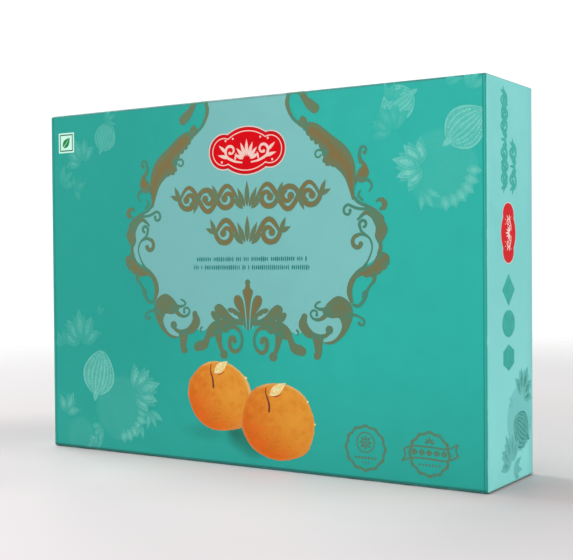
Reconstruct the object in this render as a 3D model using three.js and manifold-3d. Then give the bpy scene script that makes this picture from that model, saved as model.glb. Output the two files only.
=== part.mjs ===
// A shut folding carton for sweets, standing on one of its long narrow sides.
//
// One sheet of folding boxboard makes the whole pack. Four panels fold round into a flat sleeve,
// which is glued along the foot of its back panel. Each end of the sleeve is shut by small flaps
// folded down from the top and up from the bottom, and over them an end panel that hinges on the
// front panel and tucks in behind the back panel's cut edge. The pack is full and can't be seen
// into, so it is one closed solid.
//
// Millimetres. +X runs along the length, +Y to the back and +Z up. The origin is the middle of
// the footprint, at the height of the surface that the carton stands on.

import * as THREE from 'three';
import { mergeVertices } from 'three/addons/utils/BufferGeometryUtils.js';
import Module from 'manifold-3d';

// Driving dimensions of the shut pack.
const LENGTH = 233;
const DEPTH = 50;
const HEIGHT = 165;
const BOARD = 0.5; // thickness of the boxboard

// Folds.
const FOLD_RADIUS = 1.2; // outer radius of the sleeve's long folds and of the end panels' hinges
const FLAP_FOLD_RADIUS = 1.0; // where the top and bottom panels turn down into the small flaps
const TUCK_RADIUS = 1.5; // the end panel's softer fold into its tuck flap
const ARC_STEPS = 4; // half the straight steps in each quarter turn

// The line pressed into the front panel beside each hinge, so that the board folds cleanly.
const SCORE_INSET = 1.6; // from the end of the pack to the middle of the line
const SCORE_WIDTH = 0.5;
const SCORE_DEPTH = 0.15;

// How the end panels sit in the sleeve.
const PANEL_CLEARANCE = 0.8; // from an end panel's cut edge to the top or the bottom of the pack
const TUCK_GAP = 0.3; // between the tuck flap and the back panel
const TUCK_SLOT = 3; // how deep the gap behind the end panel can be seen
const BACK_EDGE_INSET = 0.9; // from the end of the pack to the back panel's cut edge

// The glued joint, where the back panel's lower cut edge shows.
const SEAM_HEIGHT = 1.5;
const SEAM_WIDTH = 0.3;
const SEAM_DEPTH = 0.4;

const OVERSHOOT = 1; // how far a cutting block runs past the face that it cuts

const wasm = await Module();
wasm.setup();

// A closed three.js geometry as a solid that can be joined and cut.
function solid(geometry) {
  geometry.deleteAttribute('normal');
  geometry.deleteAttribute('uv');
  const merged = mergeVertices(geometry);
  return new wasm.Manifold(new wasm.Mesh({
    numProp: 3,
    vertProperties: merged.attributes.position.array,
    triVerts: Uint32Array.from(merged.index.array),
  }));
}

// The outline of a rectangle centred on (0, 0) with its corners rounded.
function roundedRectangle(width, height, radius) {
  const x = width / 2 - radius;
  const y = height / 2 - radius;
  const outline = new THREE.Shape();
  outline.absarc(x, -y, radius, -Math.PI / 2, 0);
  outline.absarc(x, y, radius, 0, Math.PI / 2);
  outline.absarc(-x, y, radius, Math.PI / 2, Math.PI);
  outline.absarc(-x, -y, radius, Math.PI, 1.5 * Math.PI);
  outline.closePath();
  return outline;
}

// The three ways that an outline is extruded: its x, its y and the direction it grows in.
const UPRIGHT = new THREE.Matrix4();
const ALONG_LENGTH = new THREE.Matrix4().makeBasis(
  new THREE.Vector3(0, 1, 0), new THREE.Vector3(0, 0, 1), new THREE.Vector3(1, 0, 0));
const ALONG_DEPTH = new THREE.Matrix4().makeBasis(
  new THREE.Vector3(1, 0, 0), new THREE.Vector3(0, 0, 1), new THREE.Vector3(0, -1, 0));

// An outline extruded evenly to both sides of the middle of the pack.
function prism(outline, span, direction) {
  const geometry = new THREE.ExtrudeGeometry(outline, {
    depth: span, steps: 1, bevelEnabled: false, curveSegments: ARC_STEPS,
  });
  geometry.translate(0, 0, -span / 2);
  geometry.applyMatrix4(direction);
  geometry.translate(0, 0, HEIGHT / 2);
  return solid(geometry);
}

// A plain block given by its size and its middle, for cutting.
function block(size, middle) {
  const geometry = new THREE.BoxGeometry(...size);
  geometry.translate(...middle);
  return solid(geometry);
}

// The four panels of the sleeve as one bar with rounded long folds.
function sleeveBar(length) {
  return prism(roundedRectangle(DEPTH, HEIGHT, FOLD_RADIUS), length, ALONG_LENGTH);
}

// The sleeve with the top and bottom panels folded over at its ends. The corners where the end
// panels tuck in are left free.
function sleeve() {
  const length = LENGTH - 2 * BOARD;
  const endFolds = prism(roundedRectangle(length, HEIGHT, FLAP_FOLD_RADIUS), DEPTH, ALONG_DEPTH);
  let bar = sleeveBar(length).intersect(endFolds);
  const depth = BOARD + TUCK_GAP + TUCK_RADIUS + OVERSHOOT;
  const size = [TUCK_SLOT + OVERSHOOT, depth, HEIGHT - 2 * PANEL_CLEARANCE];
  for (const side of [-1, 1]) {
    const x = side * (LENGTH / 2 - TUCK_SLOT / 2 + OVERSHOOT / 2);
    bar = bar.subtract(block(size, [x, DEPTH / 2 - depth / 2 + OVERSHOOT, HEIGHT / 2]));
  }
  return bar;
}

// The plan of the pack through its end panels, drawn for its right half and mirrored. It holds
// the pressed line, the hinge, the end panel, the fold of the tuck flap, the gap behind that flap
// and the back panel's cut edge.
function planOutline() {
  const end = LENGTH / 2;
  const front = -DEPTH / 2;
  const back = DEPTH / 2;
  const tuckFace = back - BOARD - TUCK_GAP;

  const half = new THREE.Path();
  half.moveTo(end - SCORE_INSET - SCORE_WIDTH / 2, front);
  half.lineTo(end - SCORE_INSET, front + SCORE_DEPTH);
  half.lineTo(end - SCORE_INSET + SCORE_WIDTH / 2, front);
  half.absarc(end - FOLD_RADIUS, front + FOLD_RADIUS, FOLD_RADIUS, -Math.PI / 2, 0);
  half.absarc(end - TUCK_RADIUS, tuckFace - TUCK_RADIUS, TUCK_RADIUS, 0, Math.PI / 2);
  half.lineTo(end - TUCK_SLOT, tuckFace);
  half.lineTo(end - TUCK_SLOT, back - BOARD);
  half.lineTo(end - BACK_EDGE_INSET, back - BOARD);
  half.lineTo(end - BACK_EDGE_INSET, back);

  const right = half.getPoints(ARC_STEPS);
  const left = right.map((point) => new THREE.Vector2(-point.x, point.y)).reverse();
  return new THREE.Shape([...right, ...left]);
}

// The front and back panels with both end panels shut, between the end panels' cut edges.
function endPanels() {
  const plan = prism(planOutline(), HEIGHT - 2 * PANEL_CLEARANCE, UPRIGHT);
  return plan.intersect(sleeveBar(LENGTH));
}

// The narrow line along the foot of the back panel, where its cut edge is glued to the bottom.
function glueSeam() {
  const depth = SEAM_DEPTH + OVERSHOOT;
  const size = [LENGTH + 2 * OVERSHOOT, depth, SEAM_WIDTH];
  return block(size, [0, DEPTH / 2 - SEAM_DEPTH + depth / 2, SEAM_HEIGHT]);
}

function cartonMesh() {
  const body = sleeve().add(endPanels()).subtract(glueSeam()).getMesh();
  const geometry = new THREE.BufferGeometry();
  geometry.setAttribute('position', new THREE.BufferAttribute(body.vertProperties, 3));
  geometry.setIndex(new THREE.BufferAttribute(body.triVerts, 1));
  geometry.computeVertexNormals();
  const material = new THREE.MeshStandardMaterial({
    color: 0x32ab9b, roughness: 0.45, metalness: 0,
  });
  const mesh = new THREE.Mesh(geometry, material);
  mesh.name = 'carton';
  return mesh;
}

const pack = new THREE.Group();
pack.add(cartonMesh());

export default pack;
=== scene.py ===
import cmath
import math
import random

import bmesh
import bpy
from mathutils import Matrix, Vector
from mathutils.geometry import delaunay_2d_cdt


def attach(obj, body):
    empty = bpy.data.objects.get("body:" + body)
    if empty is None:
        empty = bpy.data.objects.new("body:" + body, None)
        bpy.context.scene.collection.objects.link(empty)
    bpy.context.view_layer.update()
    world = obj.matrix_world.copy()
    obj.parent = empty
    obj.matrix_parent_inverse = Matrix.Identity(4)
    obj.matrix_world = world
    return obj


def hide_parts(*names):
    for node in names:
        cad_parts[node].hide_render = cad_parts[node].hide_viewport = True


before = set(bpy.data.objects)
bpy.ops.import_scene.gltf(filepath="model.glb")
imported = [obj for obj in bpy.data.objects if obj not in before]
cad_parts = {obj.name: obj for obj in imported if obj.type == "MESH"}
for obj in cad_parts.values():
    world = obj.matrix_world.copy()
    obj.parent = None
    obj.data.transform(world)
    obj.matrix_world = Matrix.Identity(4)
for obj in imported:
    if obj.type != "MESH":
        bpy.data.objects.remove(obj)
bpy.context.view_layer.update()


# THE VIEW
# A long lens a little above the middle of the pack, off its right front corner. The pack's
# length runs away to the left of the picture, and its right end shows narrow.
camera_data = bpy.data.cameras.new("camera")
camera_data.lens = 70.76
camera_data.sensor_width = 36
camera_data.clip_start = 0.01
camera_data.clip_end = 20

CAMERA_PLACE = Vector((0.2880, -0.4368, 0.0931))
CAMERA_HEADING = math.radians(32.76)  # left of the pack's depth
CAMERA_PITCH = math.radians(1.09)  # below level
CAMERA_ROLL = math.radians(-0.44)

UP = Vector((0, 0, 1))
sideways = Vector((math.cos(CAMERA_HEADING), math.sin(CAMERA_HEADING), 0))
forward = UP.cross(sideways) * math.cos(CAMERA_PITCH) - UP * math.sin(CAMERA_PITCH)
above = sideways.cross(forward)
right = sideways * math.cos(CAMERA_ROLL) + above * math.sin(CAMERA_ROLL)
upward = above * math.cos(CAMERA_ROLL) - sideways * math.sin(CAMERA_ROLL)
facing = Matrix((right, upward, -forward)).transposed().to_4x4()

camera = bpy.data.objects.new("camera", camera_data)
bpy.context.scene.collection.objects.link(camera)
camera.matrix_world = Matrix.Translation(CAMERA_PLACE) @ facing
bpy.context.scene.camera = camera


# THE FOLDED CARTON
# One sheet of coated folding boxboard, printed teal on its four sleeve panels and pale teal on
# the two end panels, varnished satin, then cut, scored, folded and glued. The inks have worn a
# little along the folds, and the grey-white board shows at its cut edges. Shade and light are
# painted into the inks as well: painted shade along the folds, in the pressed score lines, along
# the foot and on the end panels' back edges, the teal deeper at the left, and the end panels
# painted paler at the foot.
class Wire:
    """A value in a node tree. Sums on it add the Math nodes that work them out."""

    def __init__(self, nodes, socket):
        self.nodes = nodes
        self.socket = socket

    def maths(self, operation, *values):
        return self.nodes.add("ShaderNodeMath", {"operation": operation}, dict(enumerate(values)))

    def __add__(self, other):
        return self.maths("ADD", self, other)

    def __sub__(self, other):
        return self.maths("SUBTRACT", self, other)

    def __rsub__(self, other):
        return self.maths("SUBTRACT", other, self)

    def __mul__(self, other):
        return self.maths("MULTIPLY", self, other)

    def __truediv__(self, other):
        return self.maths("DIVIDE", self, other)

    def __pow__(self, other):
        return self.maths("POWER", self, other)

    def __abs__(self):
        return self.maths("ABSOLUTE", self)

    __radd__ = __add__
    __rmul__ = __mul__

    def least(self, other):
        return self.maths("MINIMUM", self, other)

    def most(self, other):
        return self.maths("MAXIMUM", self, other)

    def rise(self, low, high):
        """0 at low and 1 at high, with a soft step between them."""
        return self.nodes.add("ShaderNodeMapRange", {"interpolation_type": "SMOOTHSTEP"},
                              {"Value": self, "From Min": low, "From Max": high})

    def out(self, name):
        return Wire(self.nodes, self.socket.node.outputs[name])


class Nodes:
    """A node tree being built, and the one way that nodes are added to it."""

    def __init__(self, tree):
        self.tree = tree

    def add(self, kind, settings=None, sockets=None, output=0):
        node = self.tree.nodes.new(kind)
        for name, value in (settings or {}).items():
            setattr(node, name, value)
        for name, value in (sockets or {}).items():
            self.feed(node.inputs[name], value)
        return Wire(self, node.outputs[output])

    def feed(self, socket, value):
        if isinstance(value, Wire):
            self.tree.links.new(value.socket, socket)
        else:
            socket.default_value = value


def colour(red, green, blue):
    """A screen colour, 0 to 255, as the linear one that Blender works with."""
    parts = [v / 255 for v in (red, green, blue)]
    return (*(v / 12.92 if v <= 0.04045 else ((v + 0.055) / 1.055) ** 2.4 for v in parts), 1)


GLOSS = 0.42  # the roughness of the satin varnish, which varies by a little
GLOSS_SPREAD = 0.08
SHINE = 0.22  # how strongly it mirrors
GRAIN_SIZE = 0.5  # of the fine coating under it, in millimetres
GRAIN_HEIGHT = 0.004
WAVE_SIZE = 42  # of the slight waves of a glued panel
WAVE_HEIGHT = 0.22


class Finish(Nodes):
    """A material being built. Its place is Object coordinates in millimetres."""

    def __init__(self, name):
        self.material = bpy.data.materials.new(name)
        self.material.use_nodes = True
        super().__init__(self.material.node_tree)
        metres = self.add("ShaderNodeTexCoord", output="Object")
        self.place = self.add("ShaderNodeVectorMath", {"operation": "SCALE"},
                              {0: metres, "Scale": 1000.0})
        self.x = self.add("ShaderNodeSeparateXYZ", sockets={0: self.place})
        self.y = self.x.out("Y")
        self.z = self.x.out("Z")

    def noise(self, size, detail=2.0, place=None):
        return self.add("ShaderNodeTexNoise", sockets={
            "Vector": place or self.place, "Scale": 1 / size, "Detail": detail})

    def blend(self, share, under, over):
        return self.add("ShaderNodeMix", {"data_type": "RGBA"}, {0: share, 6: under, 7: over}, output=2)

    def varnish(self, shade, gloss=GLOSS, shine=SHINE):
        """Lays the pack's satin varnish over an ink: its gloss, the fine grain of the coating
        under it and the slight waves of a glued panel. Every ink shares them, and the heavy
        ones shine less."""
        grain = self.noise(GRAIN_SIZE, 3.0)
        waves = self.noise(WAVE_SIZE, 1.0)
        height = grain * GRAIN_HEIGHT + waves * WAVE_HEIGHT
        normal = self.add("ShaderNodeBump", sockets={
            "Strength": 1.0, "Distance": 0.001, "Height": height})
        shader = self.tree.nodes["Principled BSDF"]
        self.feed(shader.inputs["Base Color"], shade)
        self.feed(shader.inputs["Roughness"], gloss - GLOSS_SPREAD / 2 + GLOSS_SPREAD * self.noise(11))
        self.feed(shader.inputs["Normal"], normal)
        self.feed(shader.inputs["Specular IOR Level"], shine)
        return self.material


def mottled(name, under, over, size, detail=2.0, between=None, gloss=GLOSS, shine=SHINE):
    """A varnished finish that wanders between two shades, in spots of a size in millimetres.
    between makes the spots clearer."""
    finish = Finish(name)
    share = finish.noise(size, detail)
    if between:
        share = share.rise(*between)
    return finish.varnish(finish.blend(share, colour(*under), colour(*over)), gloss, shine)


HALF_LENGTH = 116.5
HALF_DEPTH = 25.0
HEIGHT = 165.0
ARTWORK_MIDDLE = 2.5  # the printed frame stands this far right of the pack's own middle

# Painted shade makes the teal a shade deeper at the left and towards the foot.
TEAL_LEFT = colour(10, 155, 142)
TEAL_RIGHT = colour(28, 174, 161)
TEAL_FOOT = colour(32, 163, 150)
TEAL_HEAVY = colour(2, 138, 126)  # where the ink lies a little thicker
# A painted contact shadow along the very foot.
TEAL_FOOT_SHADOW = colour(32, 66, 62)
# The end panels' pale teal is painted paler at the foot, painted light that offsets the shade there.
PALE_TEAL = colour(138, 226, 220)
PALE_TEAL_TOP = colour(108, 194, 190)
SWEET_SHADOW = colour(8, 96, 74)
# The pictured sweets' shadows: across, up, half width, half height and depth.
SWEET_SHADOWS = ((-1, 12.5, 11, 6.5, 0.65), (5, 7.5, 9, 4.5, 0.45), (-21, 14, 16, 5, 0.25),
                 (-5, 15.5, 6, 4, 0.7))
FOLD_SHADE_REACH = 1.25  # how far from a fold its painted shade fades out
FOLD_SHADE_AND_WEAR_FULL = 0.8  # and up to where the painted shade and the rubbed wear are at their strongest
SCORE_INSET = 1.85  # from the pack's end to the middle of the line pressed beside each hinge


def ground(finish):
    """The teal ink. It is laid slightly unevenly, and dark where the pictured sweets cast their
    printed shadow. Painted shade makes it a shade deeper at the left and towards the foot, and a
    painted contact shadow darkens the very foot."""
    # Painted shade: deeper towards the left and towards the foot.
    teal = finish.blend(finish.x.rise(-72, 52), TEAL_LEFT, TEAL_RIGHT)
    teal = finish.blend(finish.z.rise(60, -12), teal, TEAL_FOOT)
    teal = finish.blend(finish.noise(12, 4.0).rise(0.3, 0.75) * 0.12, teal, TEAL_HEAVY)
    for across, up, wide, tall, depth in SWEET_SHADOWS:
        spread = (((finish.x - across) / wide) ** 2 + ((finish.z - up) / tall) ** 2) ** 0.5
        teal = finish.blend(spread.rise(1.1, 0.15) * depth, teal, SWEET_SHADOW)
    # A painted contact shadow darkens the very foot.
    return finish.blend(finish.z.rise(2.1, 0.8) * 0.8, teal, TEAL_FOOT_SHADOW)


def folded(finish, shade, crease, worn):
    """Paints shade along the folds, where two faces of the pack meet, by turning a colour towards the
    given crease colour, and rubs it paler in a few spots there, as worn ink."""
    gaps = (HALF_LENGTH - abs(finish.x), HALF_DEPTH - abs(finish.y),
            HEIGHT / 2 - abs(finish.z - HEIGHT / 2))
    nearest = (gaps[0] + gaps[1]).least(gaps[0] + gaps[2]).least(gaps[1] + gaps[2])
    # Painted shade along the folds.
    shade = finish.blend(nearest.rise(FOLD_SHADE_REACH, FOLD_SHADE_AND_WEAR_FULL) * 0.55, shade, crease)
    rubbed = (nearest + 0.5 * finish.noise(1.6, 3.0)).rise(1.15, FOLD_SHADE_AND_WEAR_FULL)
    return finish.blend(rubbed * finish.noise(9).rise(0.5, 0.7) * 0.4, shade, worn)


teal_finish = Finish("teal_board")
# Painted shade darkens the line pressed beside each hinge.
score_shade = abs(HALF_LENGTH - abs(teal_finish.x) - SCORE_INSET).rise(0.45, 0.15)
teal = teal_finish.blend(score_shade * 0.5, ground(teal_finish), colour(2, 98, 90))
# The painted fold shade, darker along the top fold.
teal_fold_shade = teal_finish.blend(teal_finish.z.rise(160, 163), colour(44, 132, 124), colour(54, 98, 94))
teal_board = teal_finish.varnish(folded(teal_finish, teal, teal_fold_shade, colour(120, 215, 200)))

end_finish = Finish("pale_board")
# Paler towards the foot, painted light that offsets the shade that falls there, and darker towards the
# top.
end_shade = end_finish.blend(end_finish.z.rise(-20, 100), PALE_TEAL, PALE_TEAL_TOP)
end_shade = end_finish.blend(
    end_finish.noise(14, 3.0).rise(0.3, 0.7) * 0.3, end_shade, colour(128, 204, 200))
# Painted shade along the back edge, where the fold turns away from the light.
end_shade = end_finish.blend(end_finish.y.rise(14, 24) * 0.5, end_shade, colour(112, 182, 180))
# A painted contact shadow along the very foot.
end_shade = end_finish.blend(end_finish.z.rise(1.5, 0.5) * 0.7, end_shade, colour(40, 104, 100))
# Painted shade along the folds, and worn paler in a few spots.
pale_board = end_finish.varnish(
    folded(end_finish, end_shade, colour(132, 208, 202), colour(184, 232, 226)), shine=0.14)

raw_board = mottled("cut_board", (196, 194, 184), (232, 230, 222), 0.25, 4.0, gloss=0.8)
CARTON_FINISHES = (teal_board, pale_board, raw_board)

# Limits that tell the carton's faces apart.
SQUARE_ON = 0.9  # the least share of its normal along an axis, for a face that looks along it
CUT_INSET = 0.8  # the cut edges stand farther in than this from the pack's ends
GAP_REACH = 3.5  # the gap behind a tuck flap is open no farther in than this
BACK_LAYERS = 0.9  # and it lies this near the back
STEP_MARGIN = 0.5  # the end panels' cut edges stand farther than this from the top and bottom
HINGE_TURN = 0.5  # nearer the pack's ends than this, the board is an end panel
TUCK_FOLD = 1.6  # and nearer than this where it folds into its tuck flap
TUCK_START = 20  # how far behind the pack's middle that fold is


def is_cut_edge(face):
    """Whether a face of the carton is bare cut board rather than a printed side."""
    middle = face.calc_center_median() * 1000
    along = abs(face.normal.x) > SQUARE_ON and abs(middle.x) < HALF_LENGTH - CUT_INSET
    under_tuck = (middle.y > HALF_DEPTH - BACK_LAYERS and abs(middle.x) > HALF_LENGTH - GAP_REACH
                  and face.normal.y < 0.1)
    step = abs(face.normal.z) > SQUARE_ON and STEP_MARGIN < middle.z < HEIGHT - STEP_MARGIN
    return along or under_tuck or step


def is_end_panel(face):
    """Whether a face belongs to a pale end panel, which starts where its hinge has turned."""
    middle = face.calc_center_median() * 1000
    outer = abs(middle.x) > HALF_LENGTH - HINGE_TURN
    tuck = (middle.y > TUCK_START and abs(middle.x) > HALF_LENGTH - TUCK_FOLD
            and 1 < middle.z < HEIGHT - 1)
    return outer or (tuck and face.normal.y < 0.98)


def add_piece(name, mesh, finishes):
    """Makes a mesh a piece of the pack that wears these finishes."""
    piece = bpy.data.objects.new(name, mesh)
    bpy.context.scene.collection.objects.link(piece)
    for finish in finishes:
        mesh.materials.append(finish)
    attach(piece, "root")
    return piece


SHARP_ANGLE = math.radians(25)  # an edge that turns by more than this stays sharp


def soften(mesh):
    """Shades a mesh smooth over its small steps and sharp at its edges."""
    mesh.shade_smooth()
    mesh.set_sharp_from_angle(angle=SHARP_ANGLE)


shell = bmesh.new()
shell.from_mesh(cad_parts["carton"].data)
bmesh.ops.remove_doubles(shell, verts=shell.verts, dist=1e-6)
bmesh.ops.dissolve_limit(shell, angle_limit=math.radians(0.5), verts=shell.verts, edges=shell.edges)
for face in shell.faces:
    finish = raw_board if is_cut_edge(face) else pale_board if is_end_panel(face) else teal_board
    face.material_index = CARTON_FINISHES.index(finish)
carton_mesh = bpy.data.meshes.new("carton_board")
shell.to_mesh(carton_mesh)
shell.free()
soften(carton_mesh)
carton = add_piece("carton_board", carton_mesh, CARTON_FINISHES)
# The flat panels keep their own facing right up to the folds.
carton.modifiers.new("flat_panels", "WEIGHTED_NORMAL").keep_sharp = True
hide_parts("carton")


# THE PALE FIELD
# A pale teal field printed inside the frame. Its neck runs up the front, over the top panel and
# down the back in one band. Like every print here it is an ink film a few hundredths of a
# millimetre thick, made as a closed plate that follows the board round its folds.
FOLD = 1.2  # outer radius of the sleeve's folds
FILM = 0.04  # how far each ink layer stands above the one before it
SUNK = 0.02  # how deep a film's underside lies in the board
FOLD_LENGTH = math.pi / 2 * FOLD
TOP_START = HEIGHT - FOLD + FOLD_LENGTH  # where the wrapped height reaches the flat top
TOP_MIDDLE = TOP_START + HALF_DEPTH - FOLD
FOLD_STEPS = 8  # the flat steps in which a film goes round the fold


def on_sleeve(point, lift):
    """A point of the artwork on the front, round the upper fold or on the top, as far as the
    middle of the top. The artwork's own middle is at 0."""
    across = point.real + ARTWORK_MIDDLE
    up = point.imag
    if up <= HEIGHT - FOLD:
        return Vector((across, -HALF_DEPTH - lift, up))
    if up >= TOP_START:
        return Vector((across, -HALF_DEPTH + FOLD + up - TOP_START, HEIGHT + lift))
    turned = (up - HEIGHT + FOLD) / FOLD
    reach = FOLD + lift
    return Vector((across, -HALF_DEPTH + FOLD - reach * math.cos(turned),
                   HEIGHT - FOLD + reach * math.sin(turned)))


SLEEVE = (on_sleeve, Vector((1, -1, 1)))  # printed on the front, and mirrored on the back


def smooth(points, step=0.5):
    """Closely spaced points on a smooth curve through the given ones. In artwork a point is a
    complex number, across and up in millimetres."""
    ends = [2 * points[0] - points[1], *points, 2 * points[-1] - points[-2]]
    found = []
    for a, b, c, d in zip(ends, ends[1:], ends[2:], ends[3:]):
        ab, bc, cd = abs(b - a) ** 0.5, abs(c - b) ** 0.5, abs(d - c) ** 0.5
        leave = c - b + bc * ((b - a) / ab - (c - a) / (ab + bc))
        arrive = c - b + bc * ((d - c) / cd - (d - b) / (bc + cd))
        count = max(2, math.ceil(abs(c - b) / step))
        for k in range(count):
            t = k / count
            found.append(b + leave * t + (3 * (c - b) - 2 * leave - arrive) * t ** 2
                         + (leave + arrive - 2 * (c - b)) * t ** 3)
    return found + [points[-1]]


def flat_map(mesh):
    """Gives a print the map that its colours are kept on, laid flat over the panel."""
    corners = [mesh.vertices[loop.vertex_index].co for loop in mesh.loops]
    on_end = all(abs(abs(p.x) * 1000 - HALF_LENGTH) < 1 for p in corners)
    spots = [Vector((p.y, p.z)) if on_end else Vector((p.x, p.z - abs(p.y))) for p in corners]
    low = Vector(map(min, zip(*spots)))
    high = Vector(map(max, zip(*spots)))
    layer = mesh.uv_layers.new(name="OFBake")
    for loop, spot in zip(layer.data, spots):
        loop.uv = [0.01 + 0.98 * (v - a) / (b - a) for v, a, b in zip(spot, low, high)]


def film(name, shapes, layer, panel, finishes, cuts=(), creases=()):
    """Prints shapes on a panel and on its mirror image as one closed film. A shape is its convex
    outlines, the number of its finish and its tone, a function of a point, and a later shape
    covers an earlier one. Cuts are outlines left bare, and creases are lines to bend along."""
    corners, outlines, owners, edges = [], [], [], []
    for number, (group, _, _) in enumerate([*shapes, (cuts, 0, None)]):
        for outline in group:
            outlines.append(range(len(corners), len(corners) + len(outline)))
            corners.extend(outline)
            owners.append(number)
    for crease in creases:
        edges.append((len(corners), len(corners) + 1))
        corners.extend(crease)
    spots = [Vector((p.real, p.imag)) for p in corners]
    spots, _, faces, _, _, sources = delaunay_2d_cdt(spots, edges, outlines, 0, 1e-3, True)
    spots = [complex(*p) for p in spots]
    kept = []
    for face, source in zip(faces, sources):
        owner = max((owners[k] for k in source), default=len(shapes))
        if owner < len(shapes):
            kept.append((face, owner))
    sides = {(a, b): owner for face, owner in kept for a, b in zip(face, [*face[1:], face[0]])}

    place, mirror = panel
    plate = bmesh.new()
    tones = plate.loops.layers.float.new("tone")
    for flip in (Vector((1, 1, 1)), mirror):
        ends = {}
        for k in {k for face, _ in kept for k in face}:
            for level in (-SUNK, layer * FILM):
                ends[k, level > 0] = plate.verts.new(place(spots[k], level) * flip / 1000)
        rounds = [([(k, True) for k in face], owner) for face, owner in kept]
        rounds += [([(k, False) for k in reversed(face)], owner) for face, owner in kept]
        rounds += [([(b, True), (a, True), (a, False), (b, False)], owner)
                   for (a, b), owner in sides.items() if (b, a) not in sides]
        for ring, owner in rounds:
            if flip == mirror:
                ring = ring[::-1]
            face = plate.faces.new([ends[end] for end in ring])
            _, face.material_index, tone = shapes[owner]
            for loop, (k, _) in zip(face.loops, ring):
                loop[tones] = tone(spots[k]) if tone else 0
    mesh = bpy.data.meshes.new(name)
    plate.to_mesh(mesh)
    plate.free()
    soften(mesh)
    flat_map(mesh)
    return add_piece(name, mesh, finishes)


def both_ways(outlines):
    """Outlines drawn right of the artwork's middle, with their mirror images left of it."""
    return [*outlines, *([-p.conjugate() for p in reversed(outline)] for outline in outlines)]


def points(*pairs):
    return [complex(*pair) for pair in pairs]


fold_heights = [HEIGHT - FOLD + FOLD_LENGTH * k / FOLD_STEPS for k in range(FOLD_STEPS + 1)]
CREASES = [points((-116, up), (112, up)) for up in fold_heights]

# Half the field's outline, from the neck down to the middle of its foot.
field_edge = [
    complex(21.2, TOP_MIDDLE),
    *smooth(points(
        (21.2, 168), (21.3, 164), (21.5, 160), (24, 154.5), (27, 151), (30, 149.2), (39, 143),
        (44, 138), (49.5, 133), (52.6, 127), (53.6, 122), (54.3, 118), (58, 115.9), (62, 113.8),
        (65, 110.6), (66.2, 106), (66.5, 101), (66.5, 97), (65.2, 93.8), (62.4, 91.4), (59.2, 89.8),
        (54.6, 85.8), (51.9, 81.6), (51.7, 77.8), (52.6, 75), (51.4, 70), (50.2, 65.5), (48.8, 61.8),
        (46.6, 59.4), (43.4, 57.4), (40.6, 57), (36, 59), (29, 61.5), (26, 60), (23.6, 61),
        (21, 61.8), (18.6, 61.4), (14, 63.6), (6, 64.6), (3.0, 64.2))),
    2.4 + 61.8j,
    61.6j]
field_outline = [*reversed(field_edge), *(-p.conjugate() for p in field_edge)][1:]

field_finish = Finish("pale_ink")
# Painted shade: a shade darker towards the left, as on the teal.
pale_shade = field_finish.blend(
    field_finish.x.rise(-60, 60), colour(112, 178, 176), colour(118, 188, 185))
pale_shade = field_finish.blend(
    field_finish.noise(15, 3.0).rise(0.3, 0.7) * 0.2, pale_shade, colour(105, 172, 170))
# Painted shade along the fold over the top, and worn paler in a few spots.
pale_ink = field_finish.varnish(
    folded(field_finish, pale_shade, colour(88, 112, 110), colour(190, 236, 230)))
film("pale_field", [([field_outline], 0, None)], 1, SLEEVE, [pale_ink], creases=CREASES)


# THE SCROLLED FRAME
# A baroque frame of leaves, scrolls and shells round the pale field, printed in a bronze ink that
# is a little metallic, brown in the broad parts and greener in the thin strokes. Every part is
# drawn once, right of the middle, and mirrored.
def hull(spots):
    """The convex outline round some points, counterclockwise."""
    spots = sorted(set(spots), key=lambda p: (p.real, p.imag))
    rim = []
    for row in (spots, spots[::-1]):
        start = len(rim)
        for p in row:
            while len(rim) > start + 1 and ((rim[-1] - rim[-2]).conjugate() * (p - rim[-2])).imag <= 1e-9:
                rim.pop()
            rim.append(p)
        rim.pop()
    return rim


def strips(left, right):
    """The convex strips that fill the space between two lines side by side."""
    found = [hull(four) for four in zip(left, left[1:], right, right[1:])]
    return [outline for outline in found if len(outline) > 2]


BROAD = 0.8  # half the width from which a part is warmer than a thin stroke
RIM_TONE = 0.4  # along a broad part's edges
HEART_TONE = 0.6  # down its middle
TONES = {}  # how warm the bronze ink is at a point, if it is not as cool as a thin stroke


def spot_key(point):
    """A point's place to a hundredth of a millimetre, the same on both sides of the middle."""
    return round(abs(point.real), 2), round(point.imag, 2)


def body(left, right, heart=HEART_TONE):
    """The strips of a part, which is split down its middle. heart is the tone down the middle of
    a broad one."""
    middle = [(a + b) / 2 for a, b in zip(left, right)]
    for a, m, b in zip(left, middle, right):
        if abs(m - a) > BROAD:
            TONES.update({spot_key(a): RIM_TONE, spot_key(b): RIM_TONE, spot_key(m): heart})
    return strips(left, middle) + strips(middle, right)


def disc(centre, radius):
    sides = max(10, math.ceil(radius * 8))
    return [centre + cmath.rect(radius, math.tau * k / sides) for k in range(sides)]


def blob(centre, radius):
    """A round drop of the bronze ink."""
    outline = disc(centre, radius)
    if radius > BROAD:
        TONES.update((spot_key(p), RIM_TONE) for p in outline)
    return outline


TURN_STEPS = 24  # the straight steps in one turn of a whorl
LEAST_BLOB = 0.25  # a stroke's end that is thinner stays square


def whorl(start, centre, turns, end):
    """A spiral from start round centre, in to a given distance from it."""
    arm = start - centre
    count = math.ceil(abs(turns) * TURN_STEPS)
    return [centre + arm * (end / abs(arm)) ** (k / count) * cmath.exp(1j * math.tau * turns * k / count)
            for k in range(1, count + 1)]


def lengths_along(path):
    found = [0]
    for a, b in zip(path, path[1:]):
        found.append(found[-1] + abs(b - a))
    return found


def eased(values, share):
    """The value at a share of the way through evenly spaced ones, with soft steps between."""
    spot = min(max(share, 0), 1) * (len(values) - 1)
    k = min(int(spot), len(values) - 2)
    return values[k] + (values[k + 1] - values[k]) * (1 - math.cos(math.pi * (spot - k))) / 2


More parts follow.
